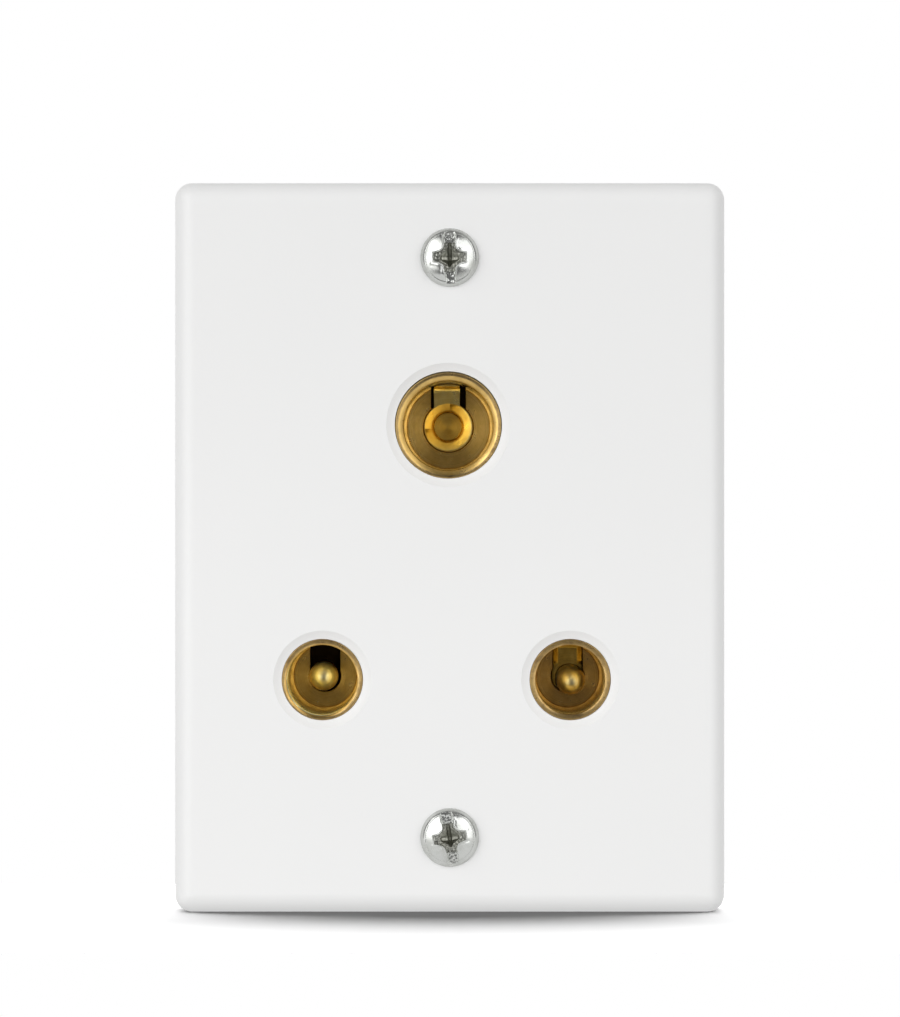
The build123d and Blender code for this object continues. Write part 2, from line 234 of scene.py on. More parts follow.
class Sheet:
    """The plate's lattice at one depth, drawn into rings where a hole, a dish or a boss is."""

    def __init__(self, depth):
        self.x, self.z = np.meshgrid(lines_x, lines_z, indexing="ij")
        self.y = np.full_like(self.x, depth)
        self.i, self.j = np.indices(self.x.shape)
        self.open = np.zeros((len(lines_x) - 1, len(lines_z) - 1), bool)
        self.holes = []

    def ring(self, x, z, start, rings, reach, hole=True):
        """Squares of cells round (x, z) become circles with the radii and depths of rings.

        Ring number n of the lattice lies n cells from the centre. Ring start takes the first
        (radius, depth) of rings, the next takes the next, and past the last one the circles
        ease back to the straight lattice, which they reach at ring number reach. Along a
        ring the angle grows evenly: it is the arc tangent of tan(pi/4 v) over tan(pi/4 u).
        """
        ci = int(np.argmin(abs(lines_x - x)))
        cj = int(np.argmin(abs(lines_z - z)))
        di, dj = self.i - ci, self.j - cj
        number = np.maximum(abs(di), abs(dj))
        safe = np.maximum(number, 1)
        angle = np.arctan2(np.tan(np.pi / 4 * dj / safe), np.tan(np.pi / 4 * di / safe))
        last = start + len(rings) - 1
        radii = np.array([r for r, _ in rings])
        step = np.clip(number - start, 0, len(rings) - 1)
        radius = radii[step] + np.maximum(number - last, 0) * lattice_step
        radius = np.where(number < start, radii[0] * number / start, radius)
        ease = np.clip((number - last) / (reach - last), 0, 1)
        pull = np.where(number < reach, 1 - ease * ease * (3 - 2 * ease), 0)
        self.x += pull * (x + radius * np.cos(angle) - self.x)
        self.z += pull * (z + radius * np.sin(angle) - self.z)
        depths = np.array([y for _, y in rings])
        inside = number <= last
        self.y = np.where(inside, depths[step], self.y)
        if hole:
            near, far = number[:-1], number[1:]
            worst = np.maximum.reduce([near[:, :-1], far[:, :-1], near[:, 1:], far[:, 1:]])
            self.open |= worst <= start
            self.holes.append((ci, cj, start))

    def shell(self):
        """Points and faces of the lattice, without the cells inside the holes."""
        index = np.arange(self.x.size).reshape(self.x.shape)
        faces = quads(index).reshape(*self.open.shape, 4)[~self.open]
        return np.stack([self.x, self.y, self.z], axis=-1).reshape(-1, 3), faces

    def loop(self, ci, cj, n):
        """Points of ring number n round a lattice point, in order."""
        go = np.arange(-n, n)
        still = np.full(2 * n, n)
        i = ci + np.concatenate([go, still, -go, -still])
        j = cj + np.concatenate([-still, go, still, -go])
        return np.stack([self.x[i, j], self.y[i, j], self.z[i, j]], axis=-1)


def dish(hole_r, front, steps=6):
    """Rings of a dish, which falls by a power a little over one of the way in from its outer edge."""
    out = np.linspace(0, 1, steps)
    depth = front + dish_depth * (1 - out**dish_power)
    rings = list(zip(hole_r + out * dish_width, depth))
    return [(hole_r, rings[0][1] + 0.3)] + rings + [(hole_r + dish_width + 0.04, front)]


front_sheet = Sheet(plate_front)
back_sheet = Sheet(plate_ceiling)
# Each aperture is (x, z, radius, ring number of the hole's edge, ring number that stays straight).
apertures = [
    (earth_centre[0], plate_earth_z, earth_hole_radius, 7, 18),
    (line_centre[0], line_centre[2], live_hole_radius, 6, 16),
    (neutral_centre[0], neutral_centre[2], live_hole_radius, 6, 16),
]
screw_ring, base_ring, straight_ring = 4, 3, 9
for x, z, hole_r, start, reach in apertures:
    front_sheet.ring(x, z, start, dish(hole_r, plate_front), reach)
    back_sheet.ring(x, z, start, [(hole_r, plate_ceiling)], reach)
for side in (-1, 1):
    z = side * screw_pitch / 2
    front_sheet.ring(0.0, z, screw_ring, [(screw_hole_radius, plate_front)], straight_ring)
    boss = [
        (screw_hole_radius, wall_plane),
        (screw_boss_radius - rim_rounding, wall_plane),
        (screw_boss_radius, wall_plane - rim_rounding),
        (screw_boss_radius, plate_ceiling),
    ]
    back_sheet.ring(0.0, z, screw_ring, boss, straight_ring)
    boss = [
        (base_boss_hole, plate_ceiling),
        (base_boss_hole, base_boss_end),
        (base_boss_radius - rim_rounding, base_boss_end),
        (base_boss_radius, base_boss_end - rim_rounding),
        (base_boss_radius, plate_ceiling),
    ]
    back_sheet.ring(side * base_screw_x, base_screw_z, base_ring, boss, straight_ring, hole=False)

hole_walls = []
for ci, cj, start in front_sheet.holes:
    wall = np.stack([front_sheet.loop(ci, cj, start), back_sheet.loop(ci, cj, start)])
    index = np.arange(wall[..., 0].size).reshape(wall.shape[:2])
    hole_walls.append((wall.reshape(-1, 3), quads(index, wrap_columns=True)))


def perimeter(profile, fan=10):
    """The plate's border: a profile of (reach, depth) carried round the flat's rectangle.

    Reach grows outwards from a rectangle that lies plan_radius inside the outline. Each of its
    corners is repeated with directions that fan through a right angle, so the outline's
    corners are round, and inside the rectangle the corners run together on the diagonal.
    """
    base, out, inward = [], [], []
    half = flat_half + edge_radius - plan_radius
    runs = [(lines_x, 0, -1), (lines_z, 1, 1), (lines_x[::-1], 0, 1), (lines_z[::-1], 1, -1)]
    for values, axis, sign in runs:
        mid = values[1:-1]
        points = np.zeros((len(mid), 2))
        points[:, axis] = mid
        points[:, 1 - axis] = sign * half[1 - axis]
        away = np.zeros((len(mid), 2))
        away[:, 1 - axis] = sign
        end = np.sign(values[-1])
        corner = np.zeros(2)
        corner[axis] = end
        corner[1 - axis] = sign
        turn = np.linspace(0, np.pi / 2, fan)[:, None]
        first, second = np.zeros(2), np.zeros(2)
        first[1 - axis] = sign
        second[axis] = end
        base += [points, np.tile(corner * half, (fan, 1))]
        out += [away, np.cos(turn) * first + np.sin(turn) * second]
        inward += [away, np.tile(corner, (fan, 1))]
    base, out, inward = (np.vstack(part)[None] for part in (base, out, inward))
    reach, depth = np.array(profile).T[..., None]
    flat = base + out * np.maximum(reach, 0)[..., None] + inward * np.minimum(reach, 0)[..., None]
    rows = np.stack([flat[..., 0], np.broadcast_to(depth, flat.shape[:2]), flat[..., 1]], axis=-1)
    index = np.arange(rows[..., 0].size).reshape(rows.shape[:2])
    return rows.reshape(-1, 3), quads(index, wrap_columns=True)


def quarter(centre, radius, start, end, steps):
    """Points (reach, depth) of an arc, with angles in degrees from the outward direction to the back."""
    turn = np.radians(np.linspace(start, end, steps))
    return list(zip(centre[0] + radius * np.cos(turn), centre[1] + radius * np.sin(turn)))


inner_reach = plan_radius - plate_wall
border = (
    quarter((plan_radius - edge_radius, plate_front + edge_radius), edge_radius, -90, 0, 16)
    + quarter((plan_radius - rim_rounding, wall_plane - rim_rounding), rim_rounding, 0, 90, 4)
    + quarter((inner_reach + rim_rounding, wall_plane - rim_rounding), rim_rounding, 90, 180, 4)
    + [(inner_reach, plate_ceiling + 0.8), (inner_reach, plate_ceiling)]
)
plate_shells = [front_sheet.shell(), back_sheet.shell(), perimeter(border)] + hole_walls


def slab(low, high, soft=0.1):
    """A rib: a box whose long edges are chamfered by soft, as a ring of eight points carried along Z."""
    (x0, y0, z0), (x1, y1, z1) = low, high
    outline = [
        (x0 + soft, y0), (x1 - soft, y0), (x1, y0 + soft), (x1, y1 - soft),
        (x1 - soft, y1), (x0 + soft, y1), (x0, y1 - soft), (x0, y0 + soft),
    ]
    middle = ((x0 + x1) / 2, (y0 + y1) / 2)
    rings = [
        [(*middle, z0)] * 8,
        [(x, y, z0) for x, y in outline],
        [(x, y, z1) for x, y in outline],
        [(*middle, z1)] * 8,
    ]
    points = np.array(rings).reshape(-1, 3)
    return points, quads(np.arange(32).reshape(4, 8), wrap_columns=True)


rib_back = -1.2
rib_half = 0.5
rib_bite = 0.2
side_rib_reach = 2.6
side_rib_rows = (-18.0, -6.0, 6.0, 18.0)
for side in (-1, 1):
    ends = sorted((side * (screw_pitch / 2 + screw_boss_radius - rib_bite), side * (plate_high[2] - 1)))
    low = (-rib_half, plate_ceiling - rib_bite, ends[0])
    plate_shells.append(slab(low, (rib_half, rib_back, ends[1])))
    ends = sorted((side * (plate_high[0] - 1), side * (plate_high[0] - plate_wall - side_rib_reach)))
    for row in side_rib_rows:
        low = (ends[0], plate_ceiling - rib_bite, row - rib_half)
        plate_shells.append(slab(low, (ends[1], rib_back, row + rib_half)))
piece("face_plate_moulding", plate_shells, white_plastic, "face_plate", 25.0)

# Contact tubes
# Three cups turned from brass bar, which take the plug's pins. Each is held by its collar
# between the plate and the base, and a keyhole slot goes through its bottom.
tube_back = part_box("earth_tube")[1].y / mm
tube_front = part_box("earth_tube")[0].y / mm
pin_depth = 16.0
collar_thickness = 1.6
tube_floor = tube_front + pin_depth
tube_sizes = {
    "earth": dict(wall=0.8, mouth=0.5, worn=0.06, keyhole=2.65, keyway=3.65),
    "line": dict(wall=0.57, mouth=0.11, worn=0.03, keyhole=1.78, keyway=3.15),
    "neutral": dict(wall=0.57, mouth=0.2, worn=0.24, keyhole=1.66, keyway=3.15),
}
tube_tints = {
    "earth": dict(colour=(0.77, 0.53, 0.19), dull=(0.56, 0.37, 0.11), bore_tint=(0.92, 0.78, 0.42)),
    "line": dict(colour=(0.55, 0.35, 0.13), dull=(0.38, 0.23, 0.07), bore_tint=(0.84, 0.70, 0.36)),
    "neutral": dict(colour=(0.66, 0.43, 0.14), dull=(0.46, 0.28, 0.07), bore_tint=(0.94, 0.83, 0.46)),
}
mouth_slope = 0.78
worn_side = math.radians(-140)
floor_step = 0.22
floor_bevel = 0.07
edge_soft = 0.05
turned_angles = 288


def turned(section, centre, angles, wrap=False):
    """A turned surface: section is (rows, columns or 1, 2) of radius and depth.

    A point lies at x = cx + r sin a, y = depth, z = cz + r cos a, so angle 0 points up.
    """
    radius, depth = section[..., 0], section[..., 1]
    x = centre[0] + radius * np.sin(angles)
    z = centre[2] + radius * np.cos(angles)
    rows = np.stack([x, np.broadcast_to(depth, x.shape), z], axis=-1)
    index = np.arange(x.size).reshape(x.shape)
    return rows.reshape(-1, 3), quads(index, wrap_rows=wrap, wrap_columns=True)


def section_of(rows, angles):
    """Rows of (radius, depth), each a number or one value per angle, as one array."""
    return np.stack([np.stack([r + 0 * angles, y + 0 * angles], axis=-1) for r, y in rows])


def angles_with(extra):
    """Even angles round a circle, with the given ones and their mirror images added."""
    even = np.linspace(-np.pi, np.pi, turned_angles, endpoint=False)
    added = np.concatenate([np.array(extra), -np.array(extra)])
    return np.unique(np.round(np.concatenate([even, added]), 9))


def keyhole(angles, hole_r, left, right, end_r):
    """Radius of a keyhole outline: a circle with a slot of the given half-widths going up from it."""
    half = np.where(angles < 0, left, right)
    side = half / np.maximum(abs(np.sin(angles)), 1e-9)
    slot = np.minimum(side, end_r)
    upper = abs(angles) < np.pi / 2
    return np.where(upper & (slot > hole_r), slot, hole_r)


def marks_group():
    """Turning marks: rings that follow the radius and the depth, as a height, a shade and a stain."""
    group, come, go = new_group(
        "turning_marks",
        [("Position", "Vector"), ("Pitch", "Float"), ("Scuff", "Float")],
        ["Height", "Shade", "Stain"],
    )
    part = node(group, "ShaderNodeSeparateXYZ", {0: come.outputs["Position"]})
    flat = node(group, "ShaderNodeCombineXYZ", {0: part.outputs[0], 2: part.outputs[2]})
    radius = node(group, "ShaderNodeVectorMath", {0: flat.outputs[0]}, operation="LENGTH")
    run = math_node(group, "ADD", radius.outputs["Value"], part.outputs[1])
    wobble = noise(group, come.outputs["Position"], 420.0)
    run = math_node(group, "MULTIPLY_ADD", wobble, 0.00012, run)
    across = math_node(group, "DIVIDE", run, come.outputs["Pitch"])
    slow = math_node(group, "MULTIPLY", across, 0.17)
    fine, broad = (
        node(group, "ShaderNodeTexNoise", {"W": at, "Scale": 1.0, "Detail": detail}, noise_dimensions="1D")
        for at, detail in ((across, 3.0), (slow, 1.0))
    )
    stain = noise(group, come.outputs["Position"], 900.0, 5.0, 0.65)
    scuffed = math_node(group, "MULTIPLY", stain, come.outputs["Scuff"])
    height = math_node(group, "MULTIPLY_ADD", broad.outputs[0], 1.5, fine.outputs[0])
    group.links.new(math_node(group, "ADD", height, scuffed), go.inputs["Height"])
    group.links.new(fine.outputs[0], go.inputs["Shade"])
    group.links.new(stain, go.inputs["Stain"])
    return group


turning_marks = marks_group()
plain_brass = (0.72, 0.48, 0.15)
tarnished_brass = (0.52, 0.355, 0.145)
tarnish_spots = (0.27, 0.18, 0.08)
# Near black for the keyway sides and gaps behind the cups: partly oxide, partly painted shade.
oxide_and_painted_shade = (0.055, 0.034, 0.017)
bore_roughness = 0.13


def ramp(tree, value, low, high, out_low=0.0, out_high=1.0):
    """Goes evenly from out_low to out_high as the value goes from low to high."""
    ends = {"Value": value, "From Min": low, "From Max": high, "To Min": out_low, "To Max": out_high}
    return node(tree, "ShaderNodeMapRange", ends).outputs[0]


def brass(name, centre, colour=(0.77, 0.53, 0.19), dull=(0.56, 0.37, 0.11), pitch=0.00012, depth=0.000008,
          roughness=0.3, scuff=0.2, grain=0.75, polished=None, bore_tint=(0.92, 0.80, 0.44), oxide_and_shade=None,
          tip_tint_end=None):
    """Brass turned about an axis along Y: its grain runs round the centre, and it dulls in stains.

    polished gives the two depths between which the surface is smooth and bright, as in a reamed
    bore, and the face at the front of the bar is tarnished. The next to last argument gives the two
    depths between which, and the radius within which, the sides of the keyway are near black: partly
    oxide, partly painted shade in the gaps that lie in shadow. The last argument gives the depth
    behind which a screw is plain brass; in front of it the screw keeps its tip tint, which on the
    domed ends is painted light.
    """
    material, tree, shader = principled(name, Metallic=1.0, Roughness=roughness, Anisotropic=grain)
    shader.inputs["Anisotropic Rotation"].default_value = 0.25
    place = node(tree, "ShaderNodeTexCoord").outputs["Object"]
    shift = tuple(-value * mm for value in (centre[0], 0, centre[2]))
    centred = node(tree, "ShaderNodeMapping", {"Vector": place, "Location": shift}).outputs[0]
    marks = node(tree, "ShaderNodeGroup", node_tree=turning_marks)
    tree.links.new(centred, marks.inputs["Position"])
    marks.inputs["Pitch"].default_value = pitch
    marks.inputs["Scuff"].default_value = scuff
    shade = math_node(tree, "MULTIPLY_ADD", marks.outputs["Shade"], 0.5, marks.outputs["Stain"])
    tint = mix_colour(tree, ramp(tree, shade, 0.55, 1.0), colour, dull)
    rough = ramp(tree, marks.outputs["Stain"], 0.3, 0.7, roughness - 0.05, roughness + 0.08)
    height = marks.outputs["Height"]
    along = node(tree, "ShaderNodeSeparateXYZ", {0: centred}).outputs[1]
    if polished:
        after = math_node(tree, "GREATER_THAN", along, polished[0] * mm)
        before = math_node(tree, "LESS_THAN", along, polished[1] * mm)
        smooth = math_node(tree, "MULTIPLY", after, before)
        coarse = math_node(tree, "SUBTRACT", 1.0, smooth)
        tarnish = math_node(tree, "LESS_THAN", along, (tube_front + 0.03) * mm)
        tint = mix_colour(tree, smooth, tint, bore_tint)
        spots = ramp(tree, marks.outputs["Stain"], 0.48, 0.66)
        tint = mix_colour(tree, tarnish, tint, mix_colour(tree, spots, tarnished_brass, tarnish_spots))
        above = math_node(tree, "SUBTRACT", rough, bore_roughness)
        rough = math_node(tree, "MULTIPLY_ADD", above, coarse, bore_roughness)
        height = math_node(tree, "MULTIPLY", height, math_node(tree, "MAXIMUM", coarse, 0.15))
    # In front of this depth the screw keeps its tip tint, which on the domed ends is painted light.
    if tip_tint_end is not None:
        plain = math_node(tree, "GREATER_THAN", along, tip_tint_end * mm)
        tint = mix_colour(tree, plain, tint, plain_brass)
    # Keyway sides and gaps go near black here: partly oxide, partly painted shade.
    if oxide_and_shade:
        behind = math_node(tree, "GREATER_THAN", along, oxide_and_shade[0] * mm)
        before = math_node(tree, "LESS_THAN", along, oxide_and_shade[1] * mm)
        flat = node(tree, "ShaderNodeVectorMath", {0: centred, 1: (1, 0, 1)}, operation="MULTIPLY")
        away = node(tree, "ShaderNodeVectorMath", {0: flat.outputs[0]}, operation="LENGTH").outputs["Value"]
        within = math_node(tree, "LESS_THAN", away, oxide_and_shade[2] * mm)
        black = math_node(tree, "MULTIPLY", math_node(tree, "MULTIPLY", behind, before), within)
        tint = mix_colour(tree, black, tint, oxide_and_painted_shade)
        rough = math_node(tree, "MULTIPLY_ADD", black, 0.3, rough)
    tree.links.new(tint, shader.inputs["Base Color"])
    tree.links.new(rough, shader.inputs["Roughness"])
    around = node(tree, "ShaderNodeVectorMath", {0: (0, 1, 0), 1: centred}, operation="CROSS_PRODUCT")
    tree.links.new(around.outputs[0], shader.inputs["Tangent"])
    bump = node(tree, "ShaderNodeBump", {"Height": height, "Distance": depth})
    tree.links.new(bump.outputs[0], shader.inputs["Normal"])
    return material


def tube_section(angles, bore, outer, collar, mouth, hole):
    """Section of a cup at each angle, from the back face round the outside to the bore and its bottom.

    The mouth is a chamfer that steepens inwards, and a scored line goes round its bottom.
    """
    floor_r = bore - floor_step
    edge = np.maximum(floor_r, hole)
    fall = np.clip((bore - edge) / floor_step, 0, 1)
    edge_y = tube_floor - floor_bevel * (1 - fall)
    inner = np.minimum(hole + edge_soft, edge)
    rows = [
        (hole, tube_back),
        (outer - edge_soft, tube_back),
        (outer, tube_back - edge_soft),
        (outer, plate_ceiling + collar_thickness),
        (collar - edge_soft, plate_ceiling + collar_thickness),
        (collar, plate_ceiling + collar_thickness - edge_soft),
        (collar, plate_ceiling + edge_soft),
        (collar - edge_soft, plate_ceiling),
        (outer, plate_ceiling),
        (outer, tube_front + 0.1),
        (outer - 0.02, tube_front + 0.04),
        (outer - 0.07, tube_front),
        (bore + mouth + 0.03, tube_front),
        (bore + mouth, tube_front + 0.012),
        (bore + mouth * 0.75, tube_front + mouth * 0.15),
        (bore + mouth * 0.5, tube_front + mouth * 0.33),
        (bore + mouth * 0.25, tube_front + mouth * 0.54),
        (bore + 0.01, tube_front + mouth * mouth_slope - 0.01),
        (bore, tube_front + mouth * mouth_slope + 0.02),
        (bore, tube_front + pin_depth * 0.35),
        (bore, tube_front + pin_depth * 0.7),
        (bore, tube_floor - floor_bevel - 0.12),
        (bore, tube_floor - floor_bevel),
        (edge, edge_y),
        (edge - 0.03 * fall, edge_y + 0.06 * fall),
        (edge - 0.08 * fall, edge_y),
        (np.minimum(inner, edge - 0.08 * fall), edge_y),
        (hole, edge_y + edge_soft),
    ]
    return section_of(rows, angles)


for name, sizes in tube_sizes.items():
    centre, bore, collar = contacts[name]
    outer = bore + sizes["wall"]
    half = sizes["keyway"] / 2
    end_r = bore - 0.01
    mouth_corner = math.asin(min(half / sizes["keyhole"], 1.0))
    angles = angles_with([mouth_corner, math.asin(half / end_r)])
    hole = keyhole(angles, sizes["keyhole"], half, half, end_r)
    mouth = sizes["mouth"] + sizes["worn"] * np.maximum(np.cos(angles - worn_side), 0)
    section = tube_section(angles, bore, outer, collar, mouth, hole)
    shell = turned(section, centre, angles, wrap=True)
    # Behind the cup's floor the keyway's sides are near black: partly oxide, partly painted shade.
    tube_brass = brass(
        f"{name}_tube_brass",
        centre,
        polished=(tube_front + sizes["mouth"] * mouth_slope, tube_floor - floor_bevel),
        oxide_and_shade=(tube_floor + 0.15, tube_back + 0.1, bore),
        **tube_tints[name],
        depth=0.000016,
    )
    piece(f"{name}_contact_tube", [shell], tube_brass, f"{name}_tube", 30.0)

# Leaves
# Stamped brass plates behind the cups. The earth leaf fills its keyhole with a countersunk
# eyelet and a tab whose end turns up, and the line leaf's tab is a shallow tray. The neutral
# leaf is a plain plate, so it keeps its CAD mesh and gets its brass with the rear base.
leaf_thickness = 1.0
key_gap = 0.05
leaf_half = 4.5
leaf_soft = 0.08
square_power = 14.0
screw_radius = 1.45
leaf_hole = 1.5
earth_key_height = 1.9
line_key_height = 0.8
tab_left, tab_right = 1.535, 1.215
upstand_height = 0.55
upstand_bend = 0.6
upstand_inset = 0.3
eyelet_depth = 0.55
eyelet_land = 0.15
tray_height = 0.24
tray_ramp = 0.5
# The screws stand a little off the middle of their cups, and the line one's end is bent.
screw_shift = {"earth": (-0.06, 0.06), "line": (0.2, -0.28), "neutral": (-0.14, -0.02)}
end_bend = {"earth": (0, 0), "line": (0.25, -0.35), "neutral": (0, 0)}
axes = {
    name: contacts[name][0] + np.array([dx, 0, dz]) for name, (dx, dz) in screw_shift.items()
}


def square(angles, half):
    """Radius of a square outline with rounded corners: a superellipse of the given half-width."""
    c, s = abs(np.cos(angles)) / half, abs(np.sin(angles)) / half
    return (c**square_power + s**square_power) ** (-1 / square_power)


def leaf_shell(name, key_height, angles, key, rise, eyelet=None):
    """A leaf round its screw hole: the hole's wall, its front edge, the key, its sides and the plate.

    key is the radius of the key's outline at each angle, and rise lifts the key's surface
    towards the front. With an eyelet, the hole is countersunk out to that radius.
    """
    centre = contacts[name][0]
    shift = axes[name] - centre
    front = tube_back - key_height
    plate = square(angles, leaf_half)
    rows = [(leaf_hole, tube_back + leaf_thickness)]
    if eyelet:
        rows += [(leaf_hole, front + eyelet_depth), (eyelet - 0.04, front + 0.03), (eyelet + 0.03, front)]
    else:
        rows += [(leaf_hole, front + 0.06), (leaf_hole + 0.06, front)]
    start = rows[-1][0]
    for share in np.linspace(0.1, 1.0, 24):
        r = start + (key - leaf_soft - start) * share
        rows.append((r, front - rise(r, angles)))
    rows += [
        (key, rows[-1][1] + leaf_soft),
        (key, tube_back),
        (plate - leaf_soft, tube_back),
        (plate, tube_back + leaf_soft),
        (plate, tube_back + leaf_thickness - leaf_soft),
        (plate - leaf_soft, tube_back + leaf_thickness),
    ]
    points, faces = turned(section_of(rows, angles), centre, angles, wrap=True)
    points = points.reshape(len(rows), len(angles), 3)
    points[:3, :, 0] += shift[0]
    points[:3, :, 2] += shift[2]
    return points.reshape(-1, 3), faces


def step(value, width):
    """Rises smoothly from 0 to 1 as value goes from 0 to width."""
    t = np.clip(value / width, 0, 1)
    return t * t * (3 - 2 * t)


def up_tab(r, angles):
    """Rise of the earth tab's end: an arc of radius upstand_bend from the tab up to the upstand."""
    end = contacts["earth"][1] - key_gap - upstand_inset
    near = np.clip((r * np.cos(angles) - (end - upstand_bend)) / upstand_bend, 0, 1)
    return upstand_height * (1 - np.sqrt(np.maximum(1 - near**2, 0)))


def tray(r, angles):
    """Rise of the line tab towards its two sides and its end: even ramps of tray_height."""
    sides = np.clip((abs(r * np.sin(angles)) - 1.0) / tray_ramp, 0, 1)
    far = np.clip((r * np.cos(angles) - contacts["line"][1] + 0.6) / tray_ramp, 0, 1)
    return tray_height * np.maximum(sides, far) * step(r * np.cos(angles) - 1.1, tray_ramp)


leaf_angles = angles_with([])
earth_bore, line_bore = contacts["earth"][1], contacts["line"][1]
earth_hole = tube_sizes["earth"]["keyhole"] - key_gap
earth_key = keyhole(leaf_angles, earth_hole, tab_left, tab_right, earth_bore - key_gap)
earth_leaf = leaf_shell("earth", earth_key_height, leaf_angles, earth_key, up_tab, earth_hole - eyelet_land)
# Behind the tab's face the earth leaf's sides are near black: partly oxide, partly painted shade.
earth_leaf_brass = brass(
    "earth_leaf_brass", earth_centre, colour=(0.89, 0.72, 0.30), dull=(0.77, 0.58, 0.20),
    pitch=0.0002, roughness=0.3, scuff=0.1, grain=0.3,
    oxide_and_shade=(tube_back - earth_key_height + eyelet_depth, tube_back + 0.5, earth_bore),
)
piece("earth_leaf_stamping", [earth_leaf], earth_leaf_brass, "earth_leaf", 30.0)
line_hole = tube_sizes["line"]["keyhole"] - key_gap
line_half = tube_sizes["line"]["keyway"] / 2 - key_gap
line_key = keyhole(leaf_angles, line_hole, line_half, line_half, line_bore - key_gap)
line_leaf = leaf_shell("line", line_key_height, leaf_angles, line_key, tray)
line_leaf_brass = brass(
    "line_leaf_brass", line_centre, colour=(0.60, 0.42, 0.12), dull=(0.36, 0.24, 0.05),
    pitch=0.0002, roughness=0.36, scuff=0.1, grain=0.2,
)
piece("line_leaf_stamping", [line_leaf], line_leaf_brass, "line_leaf", 30.0)

# Terminal screws
# Turned brass screws with a slotted cheese head at the back. Their ends show in the keyholes:
# flat and faced in the earth tube, domed in the other two. The domed ends are tinted far lighter
# than brass, which is painted light, as they lie deep in the cups.
earth_tip_below = 0.2
live_tip_above = 1.3
dome_radius = 1.56
dome_edge = 1.53
head_radius = 2.9
washer_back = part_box("earth_clamp_washer")[1].y / mm
head_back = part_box("earth_terminal_screw")[1].y / mm
thread_pitch = 0.5
thread_depth = 0.26
recess_half = 0.4
recess_depth = 0.9
head_soft = 0.15
# Tints of the screw ends seen in the keyholes. The domed live ends are near white, which is painted light;
# the earth end is brass.
tip_tints_painted_light = {
    "earth": dict(colour=(0.80, 0.53, 0.13), dull=(0.68, 0.40, 0.07)),
    "line": dict(colour=(1.0, 0.95, 0.74), dull=(1.0, 0.90, 0.64)),
    "neutral": dict(colour=(1.0, 0.95, 0.74), dull=(1.0, 0.90, 0.64)),
}


def thread_radius(y, angles, crest, pitch, depth):
    """Radius of a rolled thread: a triangle wave of the turns, flattened at the crest and the root."""
    turns = np.mod(y / pitch - angles / (2 * np.pi), 1.0)
    wave = abs(2 * turns - 1)
    return crest - depth * np.clip(1.25 * wave - 0.125, 0, 1)


def terminal_screw(name, tip, axis):
    """A screw as one turned surface: tip profile, threaded shank and head.

    From inside the cup's bottom to its tip the end is bent aside, evenly with the depth. Points
    of the head within recess_half of the axis are pressed in, which makes its slot.
    """
    angles = np.linspace(-np.pi, np.pi, 144, endpoint=False)
    start = tip[-1][1] + 0.25
    rows = list(tip)
    for y in np.arange(start, washer_back - 0.4, thread_pitch / 10):
        ease = min((y - start) / thread_pitch, 1.0)
        threaded = thread_radius(y, angles, screw_radius, thread_pitch, thread_depth)
        rows.append((tip[-1][0] + (threaded - tip[-1][0]) * ease, y))
    rows += [
        (screw_radius - 0.1, washer_back - 0.3), (screw_radius - 0.1, washer_back),
        (head_radius - head_soft, washer_back), (head_radius, washer_back + head_soft),
        (head_radius, head_back - head_soft), (head_radius - head_soft, head_back),
    ]
    rows += [(r, head_back) for r in np.linspace(head_radius - head_soft, 0, 40)[1:]]
    points, faces = turned(section_of(rows, angles), axis, angles)
    aside = np.clip((tube_back - 1 - points[:, 1:2]) / (live_tip_above + 1), 0, 1)
    points[:, ::2] += aside * np.array(end_bend[name])
    slot_bottom = head_back - recess_depth
    in_slot = (abs(points[:, 0] - axis[0]) < recess_half) & (points[:, 1] > slot_bottom)
    points[in_slot, 1] = slot_bottom
    return points, faces


def dome(tip_y):
    """A spherical end: depth is tip + R - sqrt(R squared - r squared)."""
    r = np.sin(np.linspace(0, 1, 22) * math.asin(dome_edge / dome_radius)) * dome_radius
    return list(zip(r, tip_y + dome_radius - np.sqrt(dome_radius**2 - r**2)))


for name in poles:
    if name == "earth":
        tip_y = tube_back - earth_key_height + earth_tip_below
        tip = [(r, tip_y) for r in np.linspace(0, screw_radius - 0.05, 12)]
        tip += [(screw_radius, tip_y + 0.06)]
    else:
        tip = dome(tube_floor - live_tip_above)
    tip_brass_painted_light = brass(
        f"{name}_screw_brass", axes[name], **tip_tints_painted_light[name],
        pitch=0.0003, depth=0.000022, roughness=0.33, scuff=0.3, tip_tint_end=tube_back,
    )
    made = terminal_screw(name, tip, axes[name])
    piece(f"{name}_terminal_screw_turned", [made], tip_brass_painted_light, f"{name}_terminal_screw", 30.0)

# Fixing screws
# Plated steel pan-head screws with a slot and a cross in the head, formed cold, so that the
# edges of the slot carry a burr. A rolled thread runs to the tip. The heads stand lower than
# their CAD nodes by head_sink, because hardly any shadow lies round them.
head_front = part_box("mounting_screw_top")[0].y / mm
screw_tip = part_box("mounting_screw_top")[1].y / mm
head_sink = 0.89
head_outer = 3.0
dome_outer = 2.5
rim_inner = 2.56
shoulder_height = 0.75
rim_step = 0.08
rim_fall = 0.6
crown_height = plate_front - head_front - head_sink
dome_drop = crown_height - shoulder_height
head_sphere = (dome_outer**2 + dome_drop**2) / (2 * dome_drop)
slot_half = 0.52
slot_drift = 0.04
slot_floor = 0.56
flare_x = 0.35
flare_z = 0.3
flare_bend = 0.175
cross_reach = 1.64
cross_rise = 1.45
cross_floor = 0.31
cross_bottom = -0.29
slit_half = 0.11
slit_width = 0.12
slit_depth = 0.22
edge_wander = 0.02
wall_width = 0.07
burr_height = 0.13
burr_width = 0.085
torn_height = 0.017
torn_reach = 0.2
torn_width = 0.11
thread_outer = 1.5
fixing_pitch = 0.5
fixing_depth = 0.28


